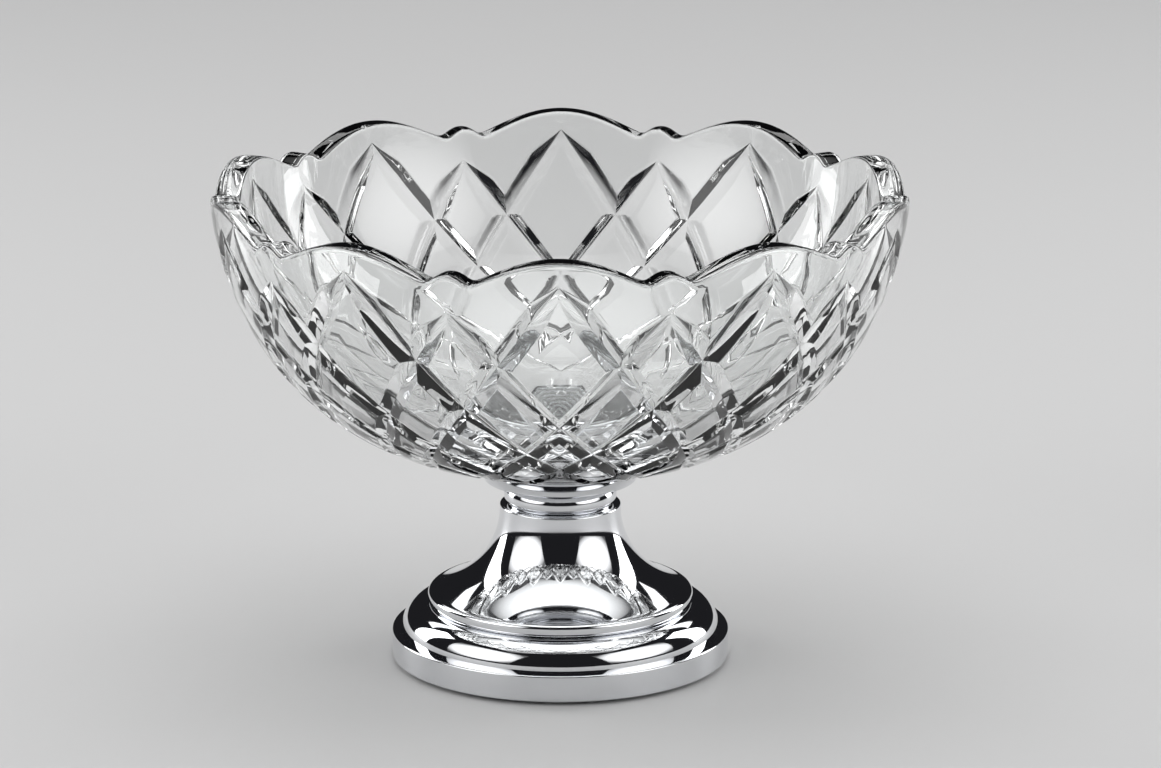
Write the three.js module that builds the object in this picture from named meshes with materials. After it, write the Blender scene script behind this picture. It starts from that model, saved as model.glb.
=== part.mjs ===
// Footed fruit bowl: a mitre-cut glass bowl with a scalloped rim, bonded to a chromed dish
// that a tie rod draws down on to a turned neck ring, a trumpet stem and a stepped base.
// Millimetres, +Z up. The part stands on z = 0 about the Z axis, with one rim crest facing -Y.

import * as THREE from 'three';

// Glass bowl
const BOWL_RADIUS = 125;
const BOWL_HEIGHT = 101.5;
const SEAT_RADIUS = 30;
const BASE_SWEEP = 45.5;
const BASE_SWEEP_RISE = 2.9;
const RIM_SWEEP = 65;
const RIM_LEAN = 4.2;
const RIM_WALL = 9.4;
const FLOOR_THICKNESS = 12;
const RIM_EDGE_RADIUS = 1.8;

// Scalloped rim: broad crests with a small round bead in each dip between them
const CRESTS = 10;
const CREST_RISE = 9.6;
const BEAD_RISE = 3.8;
const BEAD_WIDTH = 14.5;
const DIP_ROUNDING = 1.2;

// Mitre cuts: two families of V grooves that cross as a lattice of diamonds
const CUT_ANGLE = 34.5;
const CUT_HALF_WIDTH = 4.8;
const CUT_DEPTH = 2.6;
const CUT_DROP = 8.6;
const BEAD_CUT_LAG = 10.4;
const CUT_RUN_OUT = 15;
const CUT_END_RADIUS = 44;
const CUT_TIP_SHARE = 0.3;
const CUT_RIM_BAND = 3.6;

// Chromed dish and the clear bond under the glass
const DISH_RADIUS = 31.5;
const DISH_LOWER_RADIUS = 27.6;
const DISH_HEIGHT = 7.8;
const DISH_EDGE = 0.7;
const DISH_RECESS = 0.5;
const DISH_RECESS_RIM = 2.8;
const DISH_SOCKET_DEPTH = 4.6;
const BOND_THICKNESS = 0.8;
const BOND_MARGIN = 0.6;

// Neck ring
const NECK_RADIUS = 18.9;
const NECK_BEAD_BULGE = 1.5;
const NECK_BEAD_HEIGHT = 7;
const NECK_COLLAR_HEIGHT = 2.2;

// Trumpet stem
const STEM_RADIUS = 21.9;
const STEM_HEIGHT = 36.8;
const STEM_STRAIGHT = 1.5;
const STEM_EDGE = 0.7;
const STEM_WALL = 3;
const STEM_CURVE = 11.5;
const LIP_RADIUS = 48;
const LIP_HEIGHT = 4.6;
const LIP_EDGE = 1.5;
const FLARE_REACH = 17.7;
const FLARE_RISE = 6.4;

// Stepped base
const BASE_RADIUS = 61;
const BAND_HEIGHT = 9.6;
const BAND_EDGE = 0.6;
const RING_RADIUS = 9;
const RING_STEP = 0.9;
const RING_SET_BACK = 3.6;
const BASE_WALL = 3.1;
const HUB_THICKNESS = 3;
const HUB_LEDGE = 4;
const COVER_THICKNESS = 2;
const FELT_THICKNESS = 2;
const FELT_PROUD = 1.1;

// Tie rod and its fasteners
const ROD_RADIUS = 4;
const ROD_END_PAST_NUT = 1.2;
const WASHER_RADIUS = 9;
const WASHER_THICKNESS = 1.6;
const LOCK_WASHER_RADIUS = 7.4;
const LOCK_WASHER_THICKNESS = 2.2;
const LOCK_WASHER_SPLIT = 1.4;
const NUT_SIDES = 6;
const NUT_ACROSS_FLATS = 13;
const NUT_HEIGHT = 6.5;

// Fits
const CLEARANCE = 0.3;

// Facets
const LARGE_TURN = 40;
const SMALL_TURN = 24;
const RIM_COLUMNS = 120;
const BODY_COLUMNS = 60;
const INNER_ROWS = 9;
const EDGE_STEPS = 1;
const CURVE_STEPS = 8;
const MERIDIAN_STEPS = 400;
const HALVINGS = 40;
const ROUNDING = 1e-6;

// Heights of the stack, from the surface that the part stands on
const coverZ = FELT_THICKNESS;
const ledgeZ = coverZ + COVER_THICKNESS;
const baseZ = FELT_PROUD;
const bandTopZ = baseZ + BAND_HEIGHT;
const ringZ = bandTopZ + RING_STEP;
const stemZ = ringZ + RING_RADIUS;
const hubZ = stemZ - HUB_THICKNESS;
const neckZ = stemZ + STEM_HEIGHT;
const dishZ = neckZ + NECK_BEAD_HEIGHT + NECK_COLLAR_HEIGHT;
const dishRimZ = dishZ + DISH_HEIGHT;
const dishFloorZ = dishRimZ - DISH_RECESS;
const seatZ = dishFloorZ + BOND_THICKNESS;
const crestZ = seatZ + BOWL_HEIGHT;
const dipZ = crestZ - CREST_RISE;
const washerZ = hubZ - WASHER_THICKNESS;
const lockWasherZ = washerZ - LOCK_WASHER_THICKNESS;
const nutZ = lockWasherZ - NUT_HEIGHT;
const rodZ = nutZ - ROD_END_PAST_NUT;
const rodTopZ = dishZ + DISH_SOCKET_DEPTH - CLEARANCE;

// Radii that follow from the fits
const rodHole = ROD_RADIUS + CLEARANCE;
const ringOuter = BASE_RADIUS - RING_SET_BACK;
const ringCentre = ringOuter - RING_RADIUS;
const pocketRadius = BASE_RADIUS - BASE_WALL;
const coverRadius = pocketRadius - CLEARANCE;
const recessRadius = DISH_RADIUS - DISH_RECESS_RIM;

const RIGHT = 0;
const UP = Math.PI / 2;
const DOWN = -Math.PI / 2;
const TURN = Math.PI * 2;

const chrome = () => new THREE.MeshStandardMaterial({ color: 0xd9dbde, roughness: 0.06, metalness: 1 });
const zincSteel = () => new THREE.MeshStandardMaterial({ color: 0x9a9ea3, roughness: 0.4, metalness: 1 });
const clearGlass = () => new THREE.MeshStandardMaterial({
  color: 0xeef4f5,
  roughness: 0.03,
  metalness: 0,
  transparent: true,
  opacity: 0.45,
});
const clearBond = () => new THREE.MeshStandardMaterial({
  color: 0xe9ece8,
  roughness: 0.2,
  metalness: 0,
  transparent: true,
  opacity: 0.6,
});
const hardboard = () => new THREE.MeshStandardMaterial({ color: 0x6b5238, roughness: 0.85, metalness: 0 });
const feltCloth = () => new THREE.MeshStandardMaterial({ color: 0x1d1e21, roughness: 0.95, metalness: 0 });

// A piece turned about the Z axis from a section drawn in radius and height.
function turned(name, section, material, columns = LARGE_TURN) {
  const geometry = new THREE.LatheGeometry(section.getPoints(EDGE_STEPS), columns);
  geometry.rotateX(UP);
  const mesh = new THREE.Mesh(geometry, material);
  mesh.name = name;
  return mesh;
}

// Carries a section on along a curve, in more steps than the small edges take.
function follow(section, curve) {
  curve.getPoints(CURVE_STEPS).forEach((point) => section.lineTo(point.x, point.y));
}

// A plain disc, or a ring where a bore is given.
function disc(name, radius, z, height, material, columns, bore = 0) {
  const section = new THREE.Path();
  section.moveTo(bore, z);
  section.lineTo(radius, z);
  section.lineTo(radius, z + height);
  section.lineTo(bore, z + height);
  if (bore > 0) section.lineTo(bore, z);
  return turned(name, section, material, columns);
}

// Outer and inner meridians of the glass, each one Bezier curve from the seat to the rim.
const outerMeridian = new THREE.CubicBezierCurve(
  new THREE.Vector2(SEAT_RADIUS, seatZ),
  new THREE.Vector2(SEAT_RADIUS + BASE_SWEEP, seatZ + BASE_SWEEP_RISE),
  new THREE.Vector2(BOWL_RADIUS - RIM_LEAN, crestZ - RIM_SWEEP),
  new THREE.Vector2(BOWL_RADIUS, crestZ),
);
const innerMeridian = new THREE.CubicBezierCurve(
  new THREE.Vector2(SEAT_RADIUS, seatZ + FLOOR_THICKNESS),
  new THREE.Vector2(SEAT_RADIUS + BASE_SWEEP - RIM_WALL, seatZ + BASE_SWEEP_RISE + FLOOR_THICKNESS),
  new THREE.Vector2(BOWL_RADIUS - RIM_LEAN - RIM_WALL, crestZ - RIM_SWEEP + RIM_WALL / 2),
  new THREE.Vector2(BOWL_RADIUS - RIM_WALL, crestZ),
);

// The place on a meridian at a given height, found by halving.
function atHeight(meridian, z) {
  let low = 0;
  let high = 1;
  for (let i = 0; i < HALVINGS; i += 1) {
    const middle = (low + high) / 2;
    if (meridian.getPoint(middle).y < z) low = middle;
    else high = middle;
  }
  return low;
}

// Height of the rim's top at an angle: each crest is a cosine arch, each bead a small parabola, and
// the rim follows the higher of the two with a rounded dip where they meet.
const crestPitch = TURN / CRESTS;
const beadHalf = BEAD_WIDTH / 2 / BOWL_RADIUS;
const crestHalf = crestPitch / 2 - beadHalf;
function rimHeight(angle) {
  const fromCrest = Math.abs(angle - crestPitch * Math.round(angle / crestPitch));
  const fromBead = (crestPitch / 2 - fromCrest) / beadHalf;
  const crest = CREST_RISE * Math.cos((fromCrest / crestHalf) * UP);
  const bead = BEAD_RISE * (1 - fromBead * fromBead);
  return dipZ + (crest + bead) / 2 + Math.hypot((crest - bead) / 2, DIP_ROUNDING);
}

// The cuts keep one angle to the meridian, so an equal turn about the axis goes with each step
// of "advance" down the bowl: advance grows by path * tan(CUT_ANGLE) / radius from the crests' apex.
const cutTangent = Math.tan(THREE.MathUtils.degToRad(CUT_ANGLE));
const cutCosine = Math.cos(THREE.MathUtils.degToRad(CUT_ANGLE));
const advanceTable = [];
{
  const start = atHeight(outerMeridian, crestZ - CUT_DROP);
  let previous = outerMeridian.getPoint(start);
  let path = 0;
  let advance = 0;
  advanceTable.push({ t: start, path, advance });
  for (let i = 1; i <= MERIDIAN_STEPS; i += 1) {
    const t = start * (1 - i / MERIDIAN_STEPS);
    const point = outerMeridian.getPoint(t);
    const step = point.distanceTo(previous);
    path += step;
    advance += (step * cutTangent * 2) / (point.x + previous.x);
    advanceTable.push({ t, path, advance });
    previous = point;
  }
}

// Reads one column of that table at a value of another, between the two nearest rows.
function lookUp(value, from, to) {
  const after = Math.max(1, advanceTable.findIndex((row) => row[from] >= value));
  const low = advanceTable[after - 1];
  const high = advanceTable[after];
  const share = (value - low[from]) / (high[from] - low[from]);
  return THREE.MathUtils.lerp(low[to], high[to], share);
}

// Lines of the lattice. Along one family a = angle - advance is constant, along the other
// b = angle + advance. Each family has a cut from every crest and one from every bead, and
// between two cuts the lines are: the cut, its far edge, the middle of the diamond, the next edge.
const cutHalf = CUT_HALF_WIDTH / cutCosine / BOWL_RADIUS;
const beadLag = lookUp(BEAD_CUT_LAG, 'path', 'advance');
const runOut = lookUp(CUT_RUN_OUT, 'path', 'advance');
const cutEnd = advanceTable.find((row) => outerMeridian.getPoint(row.t).x < CUT_END_RADIUS).advance;
const LINES_PER_CUT = 4;
const LINES_PER_CREST = LINES_PER_CUT * 2;
const LINES_AROUND = LINES_PER_CREST * CRESTS;

function latticeLine(index, beadCut) {
  const cut = Math.floor(index / LINES_PER_CUT);
  const kind = index - cut * LINES_PER_CUT;
  const place = (k) => crestPitch * Math.floor(k / 2) + (k % 2 === 0 ? 0 : beadCut);
  const apex = (k) => (k % 2 === 0 ? 0 : beadLag);
  const near = place(cut);
  const far = place(cut + 1);
  return { kind, near, far, nearApex: apex(cut), farApex: apex(cut + 1) };
}

// A line's own value at an advance: a cut narrows towards its apex, so its edges close in there.
function lineValue(line, advance) {
  const width = (apex) => cutHalf * THREE.MathUtils.clamp((advance - apex) / runOut, CUT_TIP_SHARE, 1);
  if (line.kind === 0) return line.near;
  if (line.kind === 1) return line.near + width(line.nearApex);
  if (line.kind === 2) return (line.near + line.far) / 2;
  return line.far - width(line.farApex);
}

// Depth of a cut on its own centre line: nothing at the apex, full after the run-out.
function cutDepth(line, advance) {
  if (line.kind !== 0) return 0;
  const start = THREE.MathUtils.clamp((advance - line.nearApex) / runOut, 0, 1);
  const end = THREE.MathUtils.clamp((cutEnd - advance) / runOut, 0, 1);
  return Math.min(start, end);
}

// The glass as one closed surface: the lattice of cuts, bands above and below it, the rounded
// rim, the smooth inside and the flat seat. Every row of points is a loop in order of angle.
function glassBowl() {
  const positions = [];
  const faces = [];

  const addPoint = (angle, radius, z) => {
    positions.push(radius * Math.sin(angle), -radius * Math.cos(angle), z);
    return { angle, index: positions.length / 3 - 1 };
  };
  const addLoop = (columns, place) => Array.from({ length: columns }, (_, i) => {
    const angle = (TURN * i) / columns;
    const point = place(angle);
    return addPoint(angle, point.x, point.y);
  });
  // Joins two loops, stepping along whichever has the nearer next point.
  const bridge = (lower, upper) => {
    const at = (loop, i) => loop[i % loop.length];
    const angleAt = (loop, i) => at(loop, i).angle + TURN * Math.floor(i / loop.length);
    let i = 0;
    let j = 0;
    while (i < lower.length || j < upper.length) {
      const stepLower = j >= upper.length
        || (i < lower.length && angleAt(lower, i + 1) <= angleAt(upper, j + 1));
      if (stepLower) {
        faces.push(at(upper, j).index, at(lower, i).index, at(lower, i + 1).index);
        i += 1;
      } else {
        faces.push(at(upper, j).index, at(lower, i).index, at(upper, j + 1).index);
        j += 1;
      }
    }
  };

  // Points of the lattice, each made once, by the numbers of its two lines.
  const lattice = new Map();
  const latticeKey = (p, q) => {
    const turns = Math.floor(p / LINES_AROUND);
    return `${p - turns * LINES_AROUND},${q - turns * LINES_AROUND}`;
  };
  const latticePlace = (p, q) => {
    const lineA = latticeLine(p, crestPitch / 2 - beadLag);
    const lineB = latticeLine(q, crestPitch / 2 + beadLag);
    const plain = (lineValue(lineB, cutEnd) - lineValue(lineA, cutEnd)) / 2;
    const a = lineValue(lineA, plain);
    const b = lineValue(lineB, plain);
    return { lineA, lineB, angle: (a + b) / 2, advance: (b - a) / 2 };
  };
  const inside = (p, q) => {
    const { angle, advance } = latticePlace(p, q);
    if (advance < -ROUNDING || advance > cutEnd) return false;
    const z = outerMeridian.getPoint(lookUp(Math.max(advance, 0), 'advance', 't')).y;
    return z <= rimHeight(angle) - CUT_RIM_BAND;
  };
  const latticePoint = (p, q) => {
    const key = latticeKey(p, q);
    if (!lattice.has(key)) {
      const { lineA, lineB, angle, advance } = latticePlace(p, q);
      const t = lookUp(Math.max(advance, 0), 'advance', 't');
      const point = outerMeridian.getPoint(t);
      const tangent = outerMeridian.getTangent(t);
      const share = Math.max(cutDepth(lineA, advance), cutDepth(lineB, advance));
      const depth = (CUT_DEPTH * share * point.x) / BOWL_RADIUS;
      const made = addPoint(angle, point.x - tangent.y * depth, point.y + tangent.x * depth);
      const wrapped = ((angle % TURN) + TURN) % TURN;
      lattice.set(key, { ...made, angle: wrapped, advance, share });
    }
    return lattice.get(key);
  };

  // One quad of the lattice between neighbouring lines, split so that crossing cuts mitre.
  const edgeUse = new Map();
  const countEdge = (from, to) => {
    const key = from.index < to.index ? `${from.index},${to.index}` : `${to.index},${from.index}`;
    const entry = edgeUse.get(key) ?? { count: 0, ends: [from, to] };
    entry.count += 1;
    edgeUse.set(key, entry);
  };
  const linesDown = Math.ceil((2 * cutEnd) / crestPitch + 1) * LINES_PER_CREST;
  for (let p = 0; p < LINES_AROUND; p += 1) {
    for (let q = p - LINES_PER_CREST; q < p + linesDown; q += 1) {
      const corners = [[p + 1, q], [p, q], [p, q + 1], [p + 1, q + 1]];
      if (corners.every(([i, j]) => inside(i, j))) {
        const [top, left, bottom, right] = corners.map(([i, j]) => latticePoint(i, j));
        const upDown = Math.abs(top.share - bottom.share) >= Math.abs(left.share - right.share);
        const pair = upDown
          ? [top, left, bottom, top, bottom, right]
          : [left, bottom, right, left, right, top];
        faces.push(...pair.map((point) => point.index));
        [[top, left], [left, bottom], [bottom, right], [right, top]].forEach((edge) => countEdge(...edge));
      }
    }
  }
  const borderEdges = [...edgeUse.values()].filter((edge) => edge.count === 1);
  const border = new Set(borderEdges.flatMap((edge) => edge.ends));
  const byAngle = (low, high) => [...border]
    .filter((point) => point.advance >= low && point.advance < high)
    .sort((one, two) => one.angle - two.angle);
  const latticeTop = byAngle(-1, cutEnd / 2);
  const latticeFoot = byAngle(cutEnd / 2, cutEnd + 1);

  // From the middle of the seat outwards and up, over the rim, and down to the middle of the floor.
  const seatCentre = addPoint(0, 0, seatZ);
  const seatLoop = addLoop(BODY_COLUMNS, () => outerMeridian.getPoint(0));
  const underT = lookUp(cutEnd + runOut / 2, 'advance', 't');
  const underLoop = addLoop(BODY_COLUMNS, () => outerMeridian.getPoint(underT));
  const rimRing = (meridian, inset, drop) => addLoop(RIM_COLUMNS, (angle) => {
    const z = rimHeight(angle);
    const point = meridian.getPoint(atHeight(meridian, z - RIM_EDGE_RADIUS));
    return new THREE.Vector2(point.x + inset, z - drop);
  });
  const loops = [
    rimRing(outerMeridian, 0, RIM_EDGE_RADIUS),
    rimRing(outerMeridian, -RIM_EDGE_RADIUS, 0),
    rimRing(innerMeridian, RIM_EDGE_RADIUS, 0),
    rimRing(innerMeridian, 0, RIM_EDGE_RADIUS),
  ];
  const innerTop = atHeight(innerMeridian, dipZ - CREST_RISE);
  for (let i = 0; i <= INNER_ROWS; i += 1) {
    const point = innerMeridian.getPoint(innerTop * (1 - i / INNER_ROWS));
    loops.push(addLoop(BODY_COLUMNS, () => point));
  }
  const floorCentre = addPoint(0, 0, seatZ + FLOOR_THICKNESS);

  const fan = (loop, centre, above) => loop.forEach((point, i) => {
    const next = loop[(i + 1) % loop.length];
    if (above) faces.push(centre.index, point.index, next.index);
    else faces.push(point.index, centre.index, next.index);
  });
  fan(seatLoop, seatCentre, false);
  bridge(seatLoop, underLoop);
  bridge(underLoop, latticeFoot);
  bridge(latticeTop, loops[0]);
  for (let i = 1; i < loops.length; i += 1) bridge(loops[i - 1], loops[i]);
  fan(loops[loops.length - 1], floorCentre, true);

  const geometry = new THREE.BufferGeometry();
  geometry.setAttribute('position', new THREE.Float32BufferAttribute(positions, 3));
  geometry.setIndex(faces);
  geometry.computeVertexNormals();
  const mesh = new THREE.Mesh(geometry, clearGlass());
  mesh.name = 'glass_bowl';
  return mesh;
}

// Chromed dish: a rounded lower edge, a side that flares up to the glass, a shallow recess for the
// bond on top and a blind socket for the rod underneath.
function bowlDish() {
  const section = new THREE.Path();
  const socketTop = dishZ + DISH_SOCKET_DEPTH;
  section.moveTo(0, socketTop);
  section.lineTo(rodHole, socketTop);
  section.lineTo(rodHole, dishZ);
  section.lineTo(DISH_LOWER_RADIUS - DISH_EDGE, dishZ);
  section.absarc(DISH_LOWER_RADIUS - DISH_EDGE, dishZ + DISH_EDGE, DISH_EDGE, DOWN, RIGHT, false);
  follow(section, new THREE.QuadraticBezierCurve(
    new THREE.Vector2(DISH_LOWER_RADIUS, dishZ + DISH_EDGE),
    new THREE.Vector2(DISH_LOWER_RADIUS + DISH_EDGE, (dishZ + dishRimZ) / 2),
    new THREE.Vector2(DISH_RADIUS, dishRimZ - DISH_EDGE),
  ));
  section.lineTo(DISH_RADIUS - DISH_EDGE, dishRimZ);
  section.lineTo(recessRadius, dishRimZ);
  section.lineTo(recessRadius, dishFloorZ);
  section.lineTo(0, dishFloorZ);
  return turned('bowl_dish', section, chrome());
}

// Neck ring: a round bead with a short plain collar above it, bored for the rod.
function neckRing() {
  const half = NECK_BEAD_HEIGHT / 2;
  const bulge = NECK_BEAD_BULGE;
  const arcRadius = (half * half + bulge * bulge) / (2 * bulge);
  const sweep = Math.asin(half / arcRadius);
  const section = new THREE.Path();
  section.moveTo(rodHole, neckZ);
  section.lineTo(NECK_RADIUS, neckZ);
  const centre = NECK_RADIUS + bulge - arcRadius;
  follow(section, new THREE.EllipseCurve(centre, neckZ + half, arcRadius, arcRadius, -sweep, sweep));
  section.lineTo(NECK_RADIUS, dishZ);
  section.lineTo(rodHole, dishZ);
  section.lineTo(rodHole, neckZ);
  return turned('neck_ring', section, chrome());
}

// Trumpet stem: a hollow spun shell with a flange across its top and a rounded lip round its foot.
function trumpetStem() {
  const lipTop = stemZ + LIP_HEIGHT;
  const straightZ = neckZ - STEM_STRAIGHT;
  const flangeZ = neckZ - STEM_WALL;
  const bore = STEM_RADIUS - STEM_WALL;
  const mouth = LIP_RADIUS - LIP_EDGE - STEM_WALL;
  const section = new THREE.Path();
  section.moveTo(mouth, stemZ);
  section.lineTo(LIP_RADIUS - LIP_EDGE, stemZ);
  section.absarc(LIP_RADIUS - LIP_EDGE, stemZ + LIP_EDGE, LIP_EDGE, DOWN, RIGHT, false);
  section.absarc(LIP_RADIUS - LIP_EDGE, lipTop - LIP_EDGE, LIP_EDGE, RIGHT, UP, false);
  follow(section, new THREE.CubicBezierCurve(
    new THREE.Vector2(LIP_RADIUS - LIP_EDGE, lipTop),
    new THREE.Vector2(LIP_RADIUS - LIP_EDGE - FLARE_REACH, lipTop + FLARE_RISE),
    new THREE.Vector2(STEM_RADIUS, straightZ - STEM_CURVE),
    new THREE.Vector2(STEM_RADIUS, straightZ),
  ));
  section.lineTo(STEM_RADIUS, neckZ - STEM_EDGE);
  section.lineTo(STEM_RADIUS - STEM_EDGE, neckZ);
  section.lineTo(rodHole, neckZ);
  section.lineTo(rodHole, flangeZ);
  section.lineTo(bore, flangeZ);
  follow(section, new THREE.CubicBezierCurve(
    new THREE.Vector2(bore, straightZ - STEM_WALL),
    new THREE.Vector2(bore, straightZ - STEM_CURVE - STEM_WALL),
    new THREE.Vector2(mouth - FLARE_REACH, lipTop + FLARE_RISE - STEM_WALL),
    new THREE.Vector2(mouth, lipTop - STEM_WALL),
  ));
  section.lineTo(mouth, stemZ);
  return turned('trumpet_stem', section, chrome());
}

// Stepped base: a plain band, a quarter-round ring set back above it, and a hub across the top.
// Its underside is hollow, with a ledge that the bottom cover seats against.
function steppedBase() {
  const innerArc = RING_RADIUS - HUB_THICKNESS;
  const ledgeRadius = pocketRadius - HUB_LEDGE;
  const section = new THREE.Path();
  section.moveTo(pocketRadius, baseZ);
  section.lineTo(BASE_RADIUS - BAND_EDGE, baseZ);
  section.lineTo(BASE_RADIUS, baseZ + BAND_EDGE);
  section.absarc(BASE_RADIUS - BAND_EDGE, bandTopZ - BAND_EDGE, BAND_EDGE, RIGHT, UP, false);
  section.lineTo(ringOuter, bandTopZ);
  follow(section, new THREE.EllipseCurve(ringCentre, ringZ, RING_RADIUS, RING_RADIUS, RIGHT, UP));
  section.lineTo(rodHole, stemZ);
  section.lineTo(rodHole, hubZ);
  section.absarc(Math.min(ringCentre, ledgeRadius - innerArc), ringZ, innerArc, UP, RIGHT, true);
  section.lineTo(ledgeRadius, ledgeZ);
  section.lineTo(pocketRadius, ledgeZ);
  section.lineTo(pocketRadius, baseZ);
  return turned('stepped_base', section, chrome());
}

// Spring lock washer: a flat ring with one split.
function lockWasher() {
  const bore = rodHole;
  const split = (distance) => Math.asin(LOCK_WASHER_SPLIT / 2 / distance);
  const outline = new THREE.Shape();
  const radius = LOCK_WASHER_RADIUS;
  outline.absarc(0, 0, radius, split(radius), TURN - split(radius), false);
  outline.absarc(0, 0, bore, TURN - split(bore), split(bore), true);
  outline.closePath();
  const geometry = new THREE.ExtrudeGeometry(outline, {
    depth: LOCK_WASHER_THICKNESS,
    bevelEnabled: false,
    curveSegments: SMALL_TURN / 2,
  });
  const mesh = new THREE.Mesh(geometry, zincSteel());
  mesh.name = 'lock_washer';
  mesh.position.z = lockWasherZ;
  return mesh;
}

// Hexagon nut on the rod's lower end.
function rodNut() {
  const corner = NUT_ACROSS_FLATS / 2 / Math.cos(Math.PI / NUT_SIDES);
  const outline = new THREE.Shape();
  for (let i = 0; i < NUT_SIDES; i += 1) {
    const angle = (TURN * i) / NUT_SIDES;
    const point = [corner * Math.cos(angle), corner * Math.sin(angle)];
    if (i === 0) outline.moveTo(...point);
    else outline.lineTo(...point);
  }
  outline.closePath();
  const hole = new THREE.Path();
  hole.absarc(0, 0, rodHole, 0, TURN, true);
  outline.holes.push(hole);
  const geometry = new THREE.ExtrudeGeometry(outline, {
    depth: NUT_HEIGHT,
    bevelEnabled: false,
    curveSegments: SMALL_TURN / 2,
  });
  const mesh = new THREE.Mesh(geometry, zincSteel());
  mesh.name = 'rod_nut';
  mesh.position.z = nutZ;
  return mesh;
}

const fruitBowl = new THREE.Group();
fruitBowl.add(
  glassBowl(),
  disc('bond_layer', recessRadius - BOND_MARGIN, dishFloorZ, BOND_THICKNESS, clearBond(), LARGE_TURN),
  bowlDish(),
  neckRing(),
  trumpetStem(),
  steppedBase(),
  disc('tie_rod', ROD_RADIUS, rodZ, rodTopZ - rodZ, zincSteel(), SMALL_TURN),
  disc('flat_washer', WASHER_RADIUS, washerZ, WASHER_THICKNESS, zincSteel(), SMALL_TURN, rodHole),
  lockWasher(),
  rodNut(),
  disc('base_cover', coverRadius, coverZ, COVER_THICKNESS, hardboard(), LARGE_TURN),
  disc('felt_pad', coverRadius, 0, FELT_THICKNESS, feltCloth(), LARGE_TURN),
);

export default fruitBowl;
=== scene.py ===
"""Footed fruit bowl: a mitre-cut glass bowl with a scalloped rim on a turned chrome foot.

Metres, in the frame's own axes: Z runs up the axis of the bowl and one rim crest faces -Y.
"""

import math

import bmesh
import bpy
import numpy as np
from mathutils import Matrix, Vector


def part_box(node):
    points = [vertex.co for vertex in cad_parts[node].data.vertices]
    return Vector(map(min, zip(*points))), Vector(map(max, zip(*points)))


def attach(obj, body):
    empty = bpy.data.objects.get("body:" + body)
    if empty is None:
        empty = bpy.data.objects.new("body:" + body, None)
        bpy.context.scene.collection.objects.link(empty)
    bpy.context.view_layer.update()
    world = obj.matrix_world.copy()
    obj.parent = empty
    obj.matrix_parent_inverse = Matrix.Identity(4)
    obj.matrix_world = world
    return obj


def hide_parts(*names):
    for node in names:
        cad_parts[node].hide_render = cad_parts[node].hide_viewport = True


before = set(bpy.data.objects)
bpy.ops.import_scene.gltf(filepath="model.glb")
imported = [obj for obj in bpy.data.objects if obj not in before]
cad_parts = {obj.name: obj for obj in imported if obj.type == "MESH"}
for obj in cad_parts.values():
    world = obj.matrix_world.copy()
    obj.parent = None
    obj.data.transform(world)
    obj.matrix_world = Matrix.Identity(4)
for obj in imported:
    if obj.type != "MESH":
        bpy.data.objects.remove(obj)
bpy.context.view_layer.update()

bl_info = {
    "name": "Footed fruit bowl",
    "version": (1, 0, 0),
    "blender": (4, 5, 0),
    "location": "3D View > Sidebar > Fruit bowl",
    "description": "Builds a mitre-cut glass fruit bowl on a turned chrome foot",
    "category": "Add Mesh",
}

BODY = "root"
TURN = math.tau
RIGHT = 0.0
UP = math.pi / 2
DOWN = -math.pi / 2

# Steps of the grids
MERIDIAN_STEPS = 1200
FLAT_CELLS = 8
CROWN_ROWS = 12
RIM_ROWS = 22
INSIDE_ROWS = 26
DISC_ROWS = 3
UNDER_ROWS = 6
ARC_STEPS = 10
CURVE_STEPS = 40
FOOT_COLUMNS = 180
SMALL_COLUMNS = 72
ROD_COLUMNS = 36
THREAD_STEPS = 6
NUT_ROWS = 13
MERGE = 1e-7

# Rim: the power of sine and cosine on its superellipse, the share of a sector's columns that lie close
# together about a bead, and how far from the bead's middle these reach, in half bead widths
RIM_SQUARE = 0.5
RIM_BEAD_SHARE = 0.5
BEAD_SPAN = 1.7

# Section of a mitre cut with slightly hollow sides: places across it, in half widths, and how deep each
# place lies, as a share of the cut's depth
CUT_ACROSS = np.array([0.0, 0.06, 0.36, 0.68, 0.94, 1.08])
CUT_SINK = np.array([0.97, 0.93, 0.68, 0.38, 0.07, 0.0])

# Rows of diamonds, and the share of its width that a cut keeps at its tips
CUT_ROWS = 5
CUT_TIP = 0.05

# Angles between faces past which an edge is sharp
GLASS_SHARP = math.radians(24)
TURNED_SHARP = math.radians(25)
THREAD_SHARP = math.radians(40)
NUT_SHARP = math.radians(20)

# Small hidden pieces: rounded edges, the gap round the bond, the thread, and the nut's chamfers, whose face
# is in half widths and whose cone is the run for each rise
DISC_EDGE = 0.0002
FELT_EDGE = 0.0006
BOND_GAP = 0.00005
THREAD_PITCH = 0.00125
THREAD_DEPTH = 0.00065
NUT_SIDES = 6
NUT_FACE = 0.96
NUT_CONE = 1.7
NUT_LEAD = 0.0005

# Refraction indices
CRYSTAL_INDEX = 1.6
BOND_INDEX = 1.48

# Sockets of a Mix node that are for colours
MIX_FACTOR = 0
MIX_DARK = 6
MIX_LIGHT = 7
MIX_COLOUR = 2

# Stage: the floor lies just under the felt, and no part of a softbox is dimmer than a least share
FLOOR_REACH = 6.0
FLOOR_DROP = 0.0002
SENSOR_WIDTH = 36
LEAST_GLOW = 0.05
BOWL_AIM = (0, 0, 0.1)

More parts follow.
